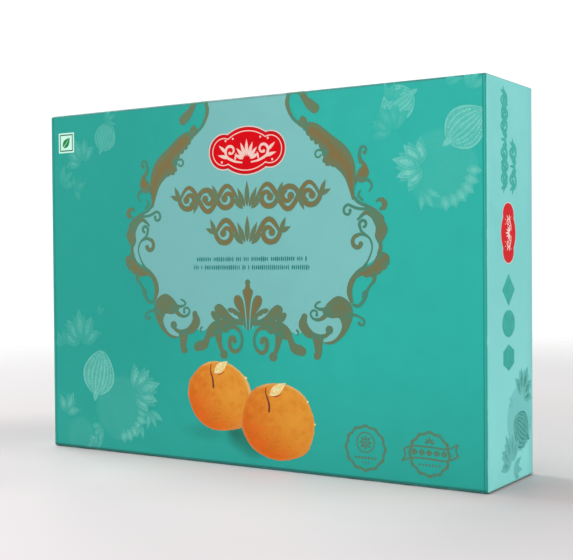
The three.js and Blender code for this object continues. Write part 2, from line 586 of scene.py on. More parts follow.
def stroke(path, half, bulb=0):
    """A pen stroke along a path. half is its half widths, evenly spaced, and bulb the radius of
    the round blob that it may end in."""
    lengths = lengths_along(path)
    left, right = [], []
    for k, p in enumerate(path):
        ahead = path[min(k + 1, len(path) - 1)] - path[max(k - 1, 0)]
        side = 1j * ahead / abs(ahead) * eased(half, lengths[k] / lengths[-1])
        left.append(p + side)
        right.append(p - side)
    ends = ((path[0], half[0]), (path[-1], max(bulb, half[-1])))
    return [*body(left, right), *(blob(p, r) for p, r in ends if r > LEAST_BLOB)]


def evenly(path, count):
    """count + 1 points spread evenly along a path."""
    lengths = lengths_along(path)
    found, k = [], 0
    for i in range(count + 1):
        goal = lengths[-1] * i / count
        while k < len(path) - 2 and lengths[k + 1] < goal:
            k += 1
        part = (goal - lengths[k]) / ((lengths[k + 1] - lengths[k]) or 1)
        found.append(path[k] + (path[k + 1] - path[k]) * min(part, 1))
    return found


def pen(*pairs, half, bulb=0, turn=None):
    """A stroke through points, which may end in a whorl: its middle, its turns and its end."""
    path = smooth(points(*pairs))
    if turn:
        middle, turns, end = turn
        path += whorl(path[-1], complex(*middle), turns, end)
    return stroke(path, half, bulb)


def leaf(back, edge, teeth=0, depth=0.0, count=40, toothed=1.0, heart=HEART_TONE):
    """A leaf between its smooth back and its edge, both drawn from base to tip. toothed is the
    share of the edge that has teeth, and heart the tone down the leaf's middle."""
    back = evenly(smooth(points(*back)), count)
    edge = evenly(smooth(points(*edge)), count)
    for k, (a, b) in enumerate(zip(back, edge)):
        share = k / count / toothed
        if teeth and a != b and share < 1:
            swell = (1 - abs(math.sin(math.pi * teeth * share))) ** 1.5 * math.sin(math.pi * share) ** 0.4
            edge[k] = b + (a - b) / abs(a - b) * min(depth * swell, abs(a - b) / 2)
    return body(back, edge, heart)


def petal(foot, tip, half, count=10):
    """A pointed petal, twice half across at its widest."""
    side = 1j * (tip - foot) / abs(tip - foot) * half
    line = [(k / count, math.sin(math.pi * (k / count) ** 0.8)) for k in range(1, count)]
    return [foot, *(foot + (tip - foot) * t - side * s for t, s in line), tip,
            *(foot + (tip - foot) * t + side * s for t, s in reversed(line))]


SCROLLS = [
    # neck: drop leaf, arch and C stroke
    pen((35.4, 157.2), (33.8, 158.4), (31.2, 160.8), (29.9, 162.8), (28.9, 164.4), (26.4, 165.6),
        (23.4, 165.0), (22.0, 163.2), (21.5, 160.6), (22.4, 157.2), (24.6, 153.6), (28.0, 150.9),
        (31.5, 148.9), half=(2.3, 2.2, 1.6, 1.5, 1.4, 0.8, 0.9, 1.0, 0.85, 0.75, 0.75, 0.9, 1.1)),
    # line along the band over the top, and the petals in its middle
    pen((22.0, 163.4), (21.5, 167), (21.4, 172), (21.4, 180), (21.4, TOP_MIDDLE), half=(0.8, 0.5, 0.5)),
    [petal(complex(1.6 * k, TOP_MIDDLE - 1.4 - 0.3 * k), complex(3.1 * k, TOP_MIDDLE - 11 + 2.1 * k), 1.0)
     for k in range(4)],
    # bud
    leaf([(28.4, 150.4), (27.6, 152.4), (29.0, 154.6)],
         [(31.8, 150.6), (31.2, 153.2), (29.0, 154.6)], count=14),
    # acanthus
    leaf([(28.6, 151.6), (35.4, 151.0), (44.2, 145.0), (51.4, 139.2), (54.8, 132.6), (55.1, 127.0),
          (54.4, 122.2), (54.9, 118.2)],
         [(28.8, 149.6), (33.2, 143.8), (38.4, 139.2), (39.8, 133.0), (45.6, 131.2), (49.8, 127.0),
          (52.2, 121.4), (53.5, 117.4)], 9, 1.2, 120, 0.62, heart=1.0),
    # tiny curl
    pen((40.8, 137.2), (38.9, 139.0), (36.7, 139.2), half=(0.7, 0.5, 0.45, 0.4),
        turn=((37.2, 137.4), 0.66, 1.1)),
    # stem on to the C leaf
    pen((54.2, 118.6), (56.6, 116.3), (60.5, 114.6), (64.3, 112.2), (66.8, 109.2),
        half=(0.8, 0.7, 0.8, 1.1, 1.8)),
    # inward spiral
    pen((62.5, 113.9), (59, 113.5), (55.4, 114.0), (51.8, 115.5), half=(0.6, 0.65, 0.65, 0.6, 0.6, 0.6),
        bulb=0.8, turn=((51.4, 112.9), 0.8, 1.1)),
    # outer scroll beside the leaf
    leaf([(54.2, 120.6), (56.0, 124.8), (59.4, 125.6), (61.6, 127.8), (60.6, 131.6), (58.2, 134.4)],
         [(54.6, 121.8), (55.4, 127.4), (56.8, 130.2), (58.0, 131.2), (58.2, 132.6), (57.2, 134.4)],
          count=36, heart=1.0),
    pen((57.8, 133.2), (57.0, 136.0), (57.5, 138.6), half=(1.0, 0.75, 0.6, 0.5, 0.5), bulb=0.85,
        turn=((59.0, 138.0), -0.62, 1.2)),
    pen((57.6, 125.6), (61.2, 125.4), (62.9, 123.0), (61.6, 120.8), half=(1.2, 0.7, 0.5, 0.35)),
    pen((58.4, 117.2), (56.4, 119.4), (57.4, 121.0), half=(0.5, 0.5, 0.4)),
    # comma
    pen((64.9, 116.4), (66.1, 117.1), (67.7, 116.9), (68.8, 115.5), (68.4, 113.9), (66.9, 113.3),
        half=(0.35, 0.8, 1.1, 1.35, 1.15, 0.7)),
    # C leaf
    leaf([(62.6, 113.6), (67.6, 109.8), (70.1, 105.0), (69.0, 101.8), (66.9, 99.0)],
         [(60.5, 112.8), (63.4, 109.8), (64.6, 105.4), (64.2, 102.0), (65.4, 99.4)], 0, 0, 30),
    pen((65.2, 106.5), (63.2, 110.4), (60.2, 112.0), (57.8, 110.6), (56.2, 109.2),
        half=(0.8, 1.0, 1.1, 0.8, 0.5)),
    # stem
    pen((66.4, 100.4), (66.8, 97.6), (66.2, 94.6), half=(0.9, 0.85, 1.1)),
    # vine
    pen((58.6, 88.6), (61.4, 93.0), (62.9, 97.8), (61.3, 101.6), (57.6, 103.0), (54.8, 102.2),
        half=(0.9, 0.4, 0.35, 0.45, 0.6, 0.9, 1.0, 1.0), bulb=1.2, turn=((56.2, 99.4), 0.62, 1.4)),
    pen((60.6, 102.2), (57.8, 104.4), (56.9, 106.9), half=(0.5, 0.6, 0.7, 0.7, 0.6), bulb=0.7,
        turn=((58.7, 107.2), -0.72, 1.2)),
    # outer leaf
    leaf([(54.8, 86.0), (57.3, 88.4), (60.2, 89.4), (63.2, 91.0), (65.2, 94.4), (67.6, 95.6),
          (69.8, 94.8)],
         [(55.0, 84.4), (57.6, 85.4), (61.6, 84.8), (65.6, 86.0), (68.3, 87.8), (70.6, 90.0),
          (71.0, 92.8)], 6, 0.8, 60, heart=0.85),
    [blob(68.5 + 92.9j, 2.4)],
    # stem below
    pen((59.2, 89.8), (55.0, 86.0), (52.5, 82.0), (52.0, 78.2), (52.9, 74.8),
        half=(0.5, 1.0, 1.3, 1.3, 0.9)),
    pen((64.0, 86.2), (63.6, 83.6), (61.8, 81.6), (60.4, 79.4), (59.8, 77.0), (58.2, 74.8), (56.2, 73.0),
        (54.0, 73.4), half=(0.9, 0.8, 0.6, 0.7, 0.7, 0.8, 0.7, 0.7)),
    pen((60.6, 79.6), (58.9, 78.6), (58.3, 76.8), half=(0.4, 0.7, 0.4), bulb=0.5),
    # dome and crescent
    leaf([(38.6, 70.4), (41.4, 74.2), (46.5, 77.1), (51.6, 74.8), (53.6, 70.0), (51.6, 63.8),
          (47.4, 58.8), (42.6, 56.4), (38.4, 57.1)],
         [(39.6, 68.6), (43.2, 67.6), (46.6, 67.8), (47.6, 66.6), (48.2, 64.2), (46.8, 61.0),
          (44.4, 58.6), (41.6, 57.6), (38.6, 57.3)], 0, 0, 72),
    pen((42.0, 71.8), (39.0, 71.3), (36.4, 71.6), (35.0, 72.6), (36.0, 73.9), (37.4, 74.5),
        half=(1.2, 0.9, 0.7, 0.5, 0.5, 0.4), bulb=0.5),
    pen((41.6, 70.2), (38.7, 67.6), (36.1, 66.8), (33.7, 67.5), (32.7, 69.3), (34.0, 70.8), (35.8, 70.2),
        (35.8, 68.8), half=(1.4, 1.1, 0.8, 0.6, 0.5, 0.5, 0.5), bulb=0.75),
    # small outer curl
    pen((50.6, 68.6), (54.4, 69.2), (57.8, 68.0), half=(1.0, 0.6, 0.5, 0.5, 0.5), bulb=0.8,
        turn=((57.4, 66.2), -0.65, 1.0)),
    # scroll with drop
    pen((29.6, 68.0), (28.9, 64.6), (31.2, 61.3), (35.6, 59.6), (39.6, 59.9), (42.0, 61.4),
        half=(1.5, 2.3, 2.1, 1.4, 1.0, 0.8)),
    [blob(42.0 + 62.6j, 1.9)],
    leaf([(33.2, 60.4), (34.2, 56.4), (34.8, 53.0), (34.2, 50.6)],
         [(39.6, 59.8), (38.6, 56.6), (38.2, 53.0), (37.6, 50.4)], count=20),
    [blob(35.9 + 51.3j, 1.75)],
    # comma between the scroll and the foot
    pen((25.7, 62.0), (26.6, 61.0), (25.6, 59.8), half=(0.5, 0.45, 0.25), bulb=0.3),
    # broad leaf at the foot, with a drop and a ring
    leaf([(2.0, 66.2), (8.0, 66.2), (14.0, 65.9), (19.0, 64.8), (22.4, 61.8), (23.6, 58.4), (24.9, 56.4),
          (28.2, 55.6)],
         [(2.0, 63.4), (7.0, 63.3), (12.0, 61.0), (16.4, 58.6), (20.4, 57.4), (21.6, 55.4), (23.0, 52.2),
          (28.2, 50.8)], 6, 0.7, 90),
    [blob(28.2 + 53.0j, 2.15)],
    pen((16.6, 61.0), (16.2, 57.4), (15.4, 54.0), (14.2, 51.2), half=(2.2, 1.7, 1.2, 1.0)),
    [blob(13.3 + 50.0j, 2.1)],
    pen((12.4, 61.6), (9.8, 62.7), (7.0, 62.5), (4.5, 60.6), (3.3, 57.2), (4.2, 53.4), (7.0, 51.5),
        (9.3, 52.6), (10.1, 55.4), (9.3, 57.5), (7.8, 57.6), (7.3, 56.2),
        half=(1.7, 1.2, 0.9, 0.75, 0.7, 0.75, 0.85, 1.0, 1.1, 1.1, 1.0), bulb=1.1),
    # rounded leaf in two lobes
    leaf([(5.0, 65.4), (9.4, 67.9), (12.4, 71.0), (15.8, 72.9), (18.4, 71.4), (17.8, 68.4)],
         [(6.4, 64.8), (10.4, 65.6), (14.0, 65.9), (16.6, 66.6), (17.7, 67.4), (17.7, 68.3)], count=36),
    pen((16.0, 66.4), (18.0, 66.5), (19.2, 68.4), half=(1.0, 1.2, 1.3)),
    # hooking leaf
    leaf([(2.4, 66.4), (4.4, 68.9), (7.6, 70.9), (10.6, 71.1), (11.2, 70.2)],
         [(3.8, 65.2), (5.6, 67.0), (7.8, 68.3), (9.8, 69.0), (11.1, 70.1)], 3, 0.5, 30),
    # palmette
    leaf([(-0.6, 61.4), (-0.9, 68.0), (-1.6, 74.0), (-2.8, 79.0), (-1.5, 80.0), (-1.2, 81.6)],
         [(0.6, 61.4), (0.9, 68.0), (1.6, 74.0), (2.8, 79.0), (1.5, 80.0), (1.2, 81.6)], count=44,
          heart=1.0),
    [disc(0 + 82.6j, 1.45)],
    leaf([(1.0, 61.8), (1.4, 67.4), (2.2, 72.8), (3.3, 75.7), (5.2, 77.0), (6.9, 76.6)],
         [(2.0, 61.8), (3.6, 66.0), (5.6, 70.0), (7.5, 73.4), (7.7, 75.2), (7.0, 76.5)], 2, 0.6, 40,
          heart=1.0),
]

BRONZE = colour(121, 103, 58)
OLIVE = colour(93, 117, 86)
FINE_GREEN = colour(68, 126, 103)


def warmth(point):
    return TONES.get(spot_key(point), 0)


def film_tone(finish):
    """The tone that a film keeps at each point."""
    return finish.add("ShaderNodeAttribute", {"attribute_name": "tone"}, output=2)


bronze_finish = Finish("bronze_ink")
bronze_tone = film_tone(bronze_finish)
bronze = bronze_finish.blend(bronze_tone.rise(0, 0.35), FINE_GREEN, OLIVE)
browner = (bronze_tone + 0.5 * bronze_finish.noise(5, 3.0)).rise(0.65, 1.25)
bronze = bronze_finish.blend(browner, bronze, BRONZE)
bronze_ink = bronze_finish.varnish(bronze, 0.4)
bronze_finish.tree.nodes["Principled BSDF"].inputs["Metallic"].default_value = 0.15
film("scroll_frame", [(both_ways([outline for part in SCROLLS for outline in part]), 0, warmth)], 2,
     SLEEVE, [bronze_ink], creases=CREASES)


# THE VINE BANDS
# Two bands of curling vine, a long one over a short one, stand where a pack of this kind has its
# title. They are printed in the frame's bronze ink.
def vine(whorls, step, radius, half):
    """Half a band of vine along the line across. Its stem waves round the whorls that it feeds,
    over the first and under the next."""
    start, end = 0.36 * step, (whorls + 0.5) * step
    count = 60
    stem = [complex(u, radius * math.cos(math.pi * (u / step - 1)))
            for u in (start + (end - start) * k / count for k in range(count + 1))]
    found = stroke(stem, (half * 0.6, half, half, half * 0.6), half * 0.9)
    for k in range(1, whorls + 1):
        middle = complex(k * step, 0)
        turn = -1 if k % 2 else 1
        found += stroke([middle + radius, *whorl(middle + radius, middle, turn, radius * 0.27)],
                        (half, half * 1.1, half * 0.8), half * 1.5)
        fork = middle + complex(step / 2, 0)
        for lean, reach in ((0.4, 1.05), (1.15, 1.25), (-2.0, 1.0)):
            found.append(petal(fork, fork + cmath.rect(radius * reach, turn * -lean), radius * 0.2))
    return found


def fan(foot, reach, half, spread, count):
    """Petals fanned out over a foot, the middle one upright."""
    found = []
    for k in range(count):
        lean = k / (count - 1) - 0.5
        way = cmath.exp(1j * (math.pi / 2 + spread * lean))
        found.append(petal(foot + way * reach * 0.2, foot + way * reach * (1 - 0.5 * abs(lean)), half))
    return found


def moved(outlines, middle, turn=1):
    """Outlines turned and scaled about their middle by a complex number, then put in place."""
    return [[middle + turn * p for p in outline] for outline in outlines]


def even(tone):
    """The same tone all over a shape."""
    return lambda point: tone


def warm_inside(middle):
    """The tone of a band whose own middle is put there: warmer down the middle of its strokes."""
    return lambda point: 1.0 if warmth(point - middle) > RIM_TONE else 0.5


def vine_band(whorls, step, radius, half, foot, tall, petal_half):
    """A whole band: vine to both sides of a fan of petals."""
    return [*both_ways(vine(whorls, step, radius, half)), *fan(foot, tall, petal_half, 1.7, 5)]


LONG_BAND = vine_band(3, 10.8, 5.6, 1.2, -6.8j, 14.4, 1.3)
SHORT_BAND = vine_band(1, 11.6, 5.8, 1.2, -7j, 14.8, 1.3)
film("vine_bands", [(moved(band, middle), 0, warm_inside(middle))
                    for band, middle in ((LONG_BAND, 120.3j), (SHORT_BAND, 104.7j))],
     2, SLEEVE, [bronze_ink])


# THE ROWS OF MARKS
# Rows of tiny marks, each a speck of ink: two in teal under the bands, where small print would
# be, and a line of bronze beads along each side of the band over the top panel.
def mark_tree():
    """Geometry Nodes that print a speck at every step along the mesh's edges."""
    tree = bpy.data.node_groups.new("row_of_marks", "GeometryNodeTree")
    for socket_name, kind in (("Row", "Geometry"), ("Spacing", "Float"), ("Radius", "Float"),
                              ("Thickness", "Float"), ("Least", "Vector"), ("Most", "Vector"),
                              ("Turn", "Vector"), ("Share", "Float"), ("Ink", "Material")):
        tree.interface.new_socket(socket_name, in_out="INPUT", socket_type="NodeSocket" + kind)
    tree.interface.new_socket("Marks", in_out="OUTPUT", socket_type="NodeSocketGeometry")
    nodes = Nodes(tree)
    given = nodes.add("NodeGroupInput")
    path = nodes.add("GeometryNodeMeshToCurve", sockets={"Mesh": given.out("Row")})
    spots = nodes.add("GeometryNodeResampleCurve", {"mode": "LENGTH"},
                      {"Curve": path, "Length": given.out("Spacing")})
    speck = nodes.add("GeometryNodeMeshCylinder", sockets={
        "Vertices": 8, "Radius": given.out("Radius"), "Depth": given.out("Thickness")})
    size = nodes.add("FunctionNodeRandomValue", {"data_type": "FLOAT_VECTOR"},
                     {0: given.out("Least"), 1: given.out("Most"), "Seed": 3})
    kept = nodes.add("FunctionNodeRandomValue", {"data_type": "BOOLEAN"},
                     {"Probability": given.out("Share"), "Seed": 5}, output=3)
    marks = nodes.add("GeometryNodeInstanceOnPoints", sockets={
        "Points": spots, "Selection": kept, "Instance": speck, "Rotation": given.out("Turn"),
        "Scale": size})
    solid = nodes.add("GeometryNodeRealizeInstances", sockets={"Geometry": marks})
    inked = nodes.add("GeometryNodeSetMaterial", sockets={
        "Geometry": solid, "Material": given.out("Ink")})
    tree.links.new(inked.socket, tree.nodes.new("NodeGroupOutput").inputs["Marks"])
    return tree


def row_of_marks(name, rows, slot, ink, **sizes):
    """Prints marks along rows, which are pairs of ends in millimetres. Sizes are the tree's own
    inputs."""
    path = bpy.data.meshes.new(name)
    ends = [Vector(end) / 1000 for row in rows for end in row]
    path.from_pydata(ends, [(k, k + 1) for k in range(0, len(ends), 2)], [])
    rail = bpy.data.objects.new(name, path)
    bpy.context.scene.collection.objects.link(rail)
    modifier = rail.modifiers.new("marks", "NODES")
    modifier.node_group = MARKS
    names = {item.name: item.identifier for item in MARKS.interface.items_tree if item.in_out == "INPUT"}
    for size_name, value in {**sizes, "Ink": ink}.items():
        modifier[names[size_name]] = value
    rail.update_tag()
    depsgraph = bpy.context.evaluated_depsgraph_get()
    mesh = bpy.data.meshes.new_from_object(rail.evaluated_get(depsgraph))
    bpy.data.objects.remove(rail)
    mesh.name = name
    mesh.materials.clear()
    soften(mesh)
    flat_map(mesh)
    return add_piece(name, mesh, [ink])


MARKS = mark_tree()
MARK_DEPTH = HALF_DEPTH + (2 * FILM - SUNK) / 2  # from the pack's middle to that of the mark
MARK_THICKNESS = 0.0001
FINE_ROWS = ((-27.8, 30.6, 93.0), (-29.6, 32, 89.3))  # from, to and height
BEAD_LINES = (-24.2, 24.2)  # across
BEADS_END = 22.5  # from the middle of the top panel
BEAD_HEIGHT = HEIGHT + 0.03
fine_teal_ink = mottled("fine_teal_ink", (22, 116, 110), (38, 130, 122), 2, 3.0)
row_of_marks("fine_rows",
             [[(ARTWORK_MIDDLE + end, side * MARK_DEPTH, up) for end in (start, stop)]
              for side in (-1, 1) for start, stop, up in FINE_ROWS],
             "printed_board", fine_teal_ink, Spacing=0.00104, Radius=0.00045,
             Thickness=MARK_THICKNESS, Least=(0.6, 2.0, 1), Most=(1.0, 2.9, 1),
             Turn=(math.pi / 2, 0, 0), Share=0.88)
row_of_marks("top_beads",
             [[(ARTWORK_MIDDLE + across, end, BEAD_HEIGHT) for end in (-BEADS_END, BEADS_END)]
              for across in BEAD_LINES],
             "bronze_print", bronze_ink, Spacing=0.0028, Radius=0.0007, Thickness=MARK_THICKNESS,
             Least=(1, 1, 1), Most=(1, 1, 1), Turn=(0, 0, 0), Share=1.0)


# THE END PANELS' VINE
# Each end panel has two bands of vine like the front's, at half the size. They are turned
# upright and printed in a deep teal ink.
def on_end(point, lift):
    """A point of the artwork on the right end panel. Across is the distance from its hinge."""
    return Vector((HALF_LENGTH + lift, point.real - HALF_DEPTH, point.imag))


END_PANEL = (on_end, Vector((-1, 1, 1)))  # printed on the right end, and mirrored on the left

END_SHINE = 0.12  # of the inks on the end panels
deep_teal_ink = mottled(
    "deep_teal_ink", (16, 154, 140), (26, 164, 152), 3, 3.0, (0.3, 0.7), shine=END_SHINE)
END_BANDS = [
    *moved(vine_band(3, 10.8, 7.0, 1.55, -7.8j, 16, 1.5), 17.4 + 140.2j, 0.485j),
    *moved(vine_band(1, 11.6, 7.6, 1.6, -8.4j, 17, 1.6), 27.0 + 130.0j, 0.47j)]
film("end_bands", [(END_BANDS, 0, None)], 1, END_PANEL, [deep_teal_ink])


# THE RED PLAQUES
# A red plaque with a pale rim heads the field, and a smaller one lies on its side on each end
# panel. A line and a lotus between two curling leaves stand out on it in cream.
LENS_RADIUS = 19.05  # of each of the two arcs
LENS_DROP = 8.6  # from the plaque's middle to the middle of an arc
LENS_STEPS = 16  # in half an arc
ROUND_END = 7.8
ROUND_END_PLACE = 12.5


def plaque(grow):
    """The plaque's shape, grown all round: a broad lens with a round end each side."""
    reach = LENS_RADIUS + grow
    half_turn = math.acos(LENS_DROP / reach)
    arc = [-LENS_DROP * 1j + cmath.rect(reach, math.pi / 2 + half_turn * (k / LENS_STEPS - 1))
           for k in range(2 * LENS_STEPS + 1)]
    lens = [*arc, *(p.conjugate() for p in arc[-2:0:-1])]
    return [lens, *(disc(side * ROUND_END_PLACE, ROUND_END + grow) for side in (1, -1))]


EMBLEM = [
    *fan(-4.4j, 9.6, 0.85, 2.3, 7),
    *both_ways([
        *pen((2.6, -5.2), (6.2, -4.6), (9.4, -3.3), half=(0.35, 0.6, 0.6, 0.45), bulb=0.75,
             turn=((8.6, 0.2), 1.05, 1.1)),
        petal(9.6 - 3.0j, 15.8 - 1.4j, 0.8), petal(10.6 - 0.8j, 15.2 + 3.0j, 0.75),
        petal(6.4 - 4.2j, 5.6 - 0.6j, 0.5), disc(13.6 - 4.6j, 0.55), disc(11.4 + 4.9j, 0.55),
        disc(7.4 + 5.6j, 0.5)]),
]
RED, DEEP_RED, CREAM = range(3)
PLAQUE_SHAPES = [(plaque(0.5), CREAM), (plaque(0), DEEP_RED), (plaque(-0.45), RED),
                 (plaque(-1.5), CREAM), (plaque(-1.95), RED), (EMBLEM, CREAM)]

red_finish = Finish("red_ink")
red = red_finish.blend(red_finish.noise(4, 3.0).rise(0.3, 0.75), colour(216, 6, 16), colour(204, 6, 22))
# The end panels' red is painted a shade duller, painted shade that offsets the stronger light on them.
red = red_finish.blend(abs(red_finish.x).rise(114, 116), red, colour(202, 12, 26))
red_ink = red_finish.varnish(red, shine=0.03)
deep_red_ink = mottled("deep_red_ink", (160, 18, 36), (140, 20, 38), 4)
cream_ink = mottled("cream_ink", (238, 206, 196), (230, 186, 176), 2, 3.0)
RED_INKS = [red_ink, deep_red_ink, cream_ink]
film("red_plaque", [(moved(group, 141.2j), ink, None) for group, ink in PLAQUE_SHAPES], 2,
     SLEEVE, RED_INKS)


def on_its_side(outline):
    """A plaque's outline turned upright for the end panel, where it is smaller and stouter."""
    return [complex(21.2 - 0.75 * p.imag, 102.8 + 0.6 * p.real) for p in outline]


END_PLAQUE_SHAPES = [*PLAQUE_SHAPES[:3], (moved(EMBLEM, 0, 0.8), CREAM)]
film("end_plaque", [([on_its_side(outline) for outline in group], ink, None)
                    for group, ink in END_PLAQUE_SHAPES], 1, END_PANEL, RED_INKS)


# THE CORNER BLOOMS
# Lotus blooms, ribbed buds, round bowls and leaves, printed as a faint tint on the teal in three
# corners of the front, and in a deeper teal at the foot of each end panel.
def paling(foot, tip, strength):
    """A tone that is faint at the foot of a petal and grows towards its tip."""
    return lambda point: strength * (0.35 + 0.65 * min(max(((point - foot) / (tip - foot)).real, 0), 1))


def shaded(foot, way, half, rings, strength):
    """A petal printed as nested outlines. Rings are the share of its size that each one has, and
    its tone."""
    shapes = []
    for part, tone in rings:
        start = foot + way * (0.5 - 0.42 * part)
        end = foot + way * (0.5 + 0.5 * part)
        ring = petal(start, end, half * part, 8)
        shapes.append(([ring], 0, paling(foot, foot + way, tone * strength)))
    return shapes


# A soft edge, a rim, a deeper inside and a pale heart.
PETAL_RINGS = ((1.1, 0.12), (1.02, 0.34), (0.94, 0.54), (0.84, 0.34), (0.62, 0.58), (0.46, 0.84))
BACK_RINGS = ((1.08, 0.1), (0.98, 0.26), (0.84, 0.16))
LEAF_RINGS = ((1.1, 0.16), (0.98, 0.38), (0.6, 0.55))


def lotus(foot, heading, size, strength=1.0, count=5, spread=2.3):
    """An open bloom seen from the side, with fainter petals behind."""
    shapes = []
    whole = cmath.exp(1j * math.radians(heading)) * size
    for k in range(count + 1):
        way = whole * cmath.exp(1j * spread * 1.1 * (k / count - 0.5)) * 0.86
        shapes += shaded(foot, way, size * 0.16, BACK_RINGS, strength)
    for k in sorted(range(count), key=lambda k: -abs(k - (count - 1) / 2)):
        lean = k / (count - 1) - 0.5
        way = whole * cmath.exp(1j * spread * lean) * (1 - 0.5 * abs(lean))
        shapes += shaded(foot, way, size * 0.19, PETAL_RINGS, strength)
    return shapes


def bud(foot, heading, size, strength=1.0):
    """A shut bud with ribs from foot to tip and rows of beads down both sides."""
    way = cmath.exp(1j * math.radians(heading)) * size

    def spot(along, across):
        width = 0.42 * math.sin(math.pi * along ** 0.85) ** 0.75
        return foot + way * complex(along, across * width)

    def rib(across):
        return [spot(0.03 + 0.94 * k / 20, across) for k in range(21)]

    right, left = rib(-1), rib(1)
    shapes = [(strips(left, right), 0, even(0.3 * strength))]
    shapes.append(([petal(foot + way * 0.12, foot - way * 0.14, size * 0.07)], 0, even(0.5 * strength)))
    for across in (-1, -0.36, -0.1, 0.16, 0.42, 1):
        shapes.append((stroke(rib(across), (0.12, 0.42, 0.36, 0.12)), 0, even(0.6 * strength)))
    bead_rows = ((0.7, range(1, 12)), (-0.58, range(13)), (-0.8, range(2, 11)))
    beads = [disc(spot(0.14 + 0.055 * k, across), 0.42) for across, row in bead_rows for k in row]
    shapes.append((beads, 0, even(0.7 * strength)))
    return shapes


def bowl(middle, radius, strength=1.0):
    """A round bowl, lit along its lower right, where petals stand along its rim."""
    rim = [middle + cmath.rect(radius, math.radians(angle)) for angle in range(-82, 8, 15)]

    def lit(point):
        way = (point - middle) / radius
        return strength * (0.06 + 0.34 * max(0, (way * cmath.exp(0.9j)).real) ** 3)

    def along_rim(start, end, half):
        return [petal(middle + (p - middle) * start, middle + (p - middle) * end, radius * half)
                for p in rim]

    soft_edge = [([disc(middle, radius + 1.1 - 0.55 * k)], 0, lambda p, k=k: lit(p) * k / 4)
                 for k in range(1, 4)]
    return [*soft_edge, ([disc(middle, radius - 1.2)], 0, even(0.08 * strength)),
            (along_rim(0.7, 1.12, 0.13), 0, even(0.26 * strength)),
            (along_rim(0.8, 1.03, 0.07), 0, even(0.46 * strength))]


def spray(foot, heading, size, strength=1.0, count=3):
    """Leaves side by side on a short stalk."""
    shapes = []
    for k in range(count):
        way = cmath.exp(1j * math.radians(heading + 34 * (k - (count - 1) / 2))) * size
        shapes += shaded(foot, way, size * 0.17, LEAF_RINGS, strength)
    return shapes


def block(left, low, right, high):
    return [complex(left, low), complex(right, low), complex(right, high), complex(left, high)]


BLOOMS = [
    # lower left
    *bowl(-75 + 22j, 15.5), *spray(-86 + 12j, 215, 9, 0.6), *lotus(-66 + 30j, 18, 16, 0.8),
    *bud(-91 + 27j, 78, 23), *spray(-57 + 22j, -64, 9, 0.8), *spray(-62 + 15j, -100, 7, 0.8, 2),
    *lotus(-100 + 52j, 96, 17, 0.42), *spray(-112 + 50j, 120, 9, 0.3), *spray(-89 + 66j, 60, 6, 0.3, 2),
    *lotus(-111 + 17j, 62, 12, 0.6, 3, 1.6), *bowl(-101 + 7j, 9, 0.9), *spray(-92 + 0j, 80, 8, 0.6),
    # upper left
    *lotus(-98 + 141j, 116, 13, 0.42), *bud(-86 + 146j, 66, 15, 0.45), *spray(-113 + 130j, 40, 11, 0.36),
    *spray(-84 + 160j, 20, 8, 0.36), *lotus(-104 + 128j, 20, 9, 0.2, 3),
    # upper right
    *bowl(94 + 129j, 16), *lotus(86 + 130j, 166, 14), *spray(86 + 121j, -60, 9, 0.8),
    *bud(97 + 139j, 36, 20), *bud(82 + 160j, -150, 17, 0.8), *lotus(73 + 145j, 122, 12, 0.3),
    *spray(71 + 157j, 70, 8, 0.36), *spray(106 + 159j, 60, 9, 0.5), *spray(96 + 162j, 30, 8, 0.4, 2),
]
MARK_MIDDLE = complex(-108.6, 151.2)  # of the small square, which the blooms leave bare
OUTSIDE_SLEEVE = [*moved([block(-5.3, -5.2, 5.3, 5.2)], MARK_MIDDLE), block(-130, -20, -116.9, 185),
                  block(111.9, -20, 130, 185), block(-130, -20, 130, 1.3)]
tint_finish = Finish("tint_ink")
tint_tone = film_tone(tint_finish)
clouds = tint_finish.noise(6, 4.0).rise(0.25, 0.65) + tint_finish.noise(1.3, 3.0).rise(0.3, 0.7)
tint_ink = tint_finish.varnish(tint_finish.blend(
    tint_tone * (0.5 + 0.3 * clouds), ground(tint_finish), colour(142, 216, 202)))
film("corner_blooms", BLOOMS, 1, SLEEVE, [tint_ink], OUTSIDE_SLEEVE, CREASES)

END_BLOOMS = [
    *bowl(33 + 26j, 13, 0.3), *lotus(36 + 35j, 62, 13, 1.9), *bud(42 + 17j, 150, 18, 1.9),
    *lotus(24 + 9j, 118, 13, 1.1), *spray(27 + 33j, 170, 6, 0.5, 2), *spray(26 + 6j, -10, 9, 0.6),
]
OUTSIDE_END = [block(47.3, -20, 70, 80), block(-20, -20, 70, 1.4)]
deep_finish = Finish("deep_tint_ink")
deep_tone = film_tone(deep_finish)
deep_share = (deep_tone * (0.5 + 0.6 * deep_finish.noise(2, 4.0))).least(1.0)
deep_tint_ink = deep_finish.varnish(
    deep_finish.blend(deep_share, PALE_TEAL_TOP, colour(14, 132, 120)), shine=END_SHINE)
film("end_blooms", END_BLOOMS, 1, END_PANEL, [deep_tint_ink], OUTSIDE_END)


# THE END PANELS' SHAPES
# A lozenge, an oval and a hexagon stand in a column under each end panel's plaque, printed in
# the same deep teal ink as its vine.
SHAPE_MARKS = [[21.2 + up * 1j + complex(6.7 * math.cos(a), tall * math.sin(a))
                for a in (math.tau * (k + 0.5 * (corners == 6)) / corners for k in range(corners))]
               for up, tall, corners in ((79.7, 6.5, 4), (66.0, 5.5, 48), (52.2, 5.4, 6))]
film("end_shapes", [(SHAPE_MARKS, 0, None)], 1, END_PANEL, [deep_teal_ink])


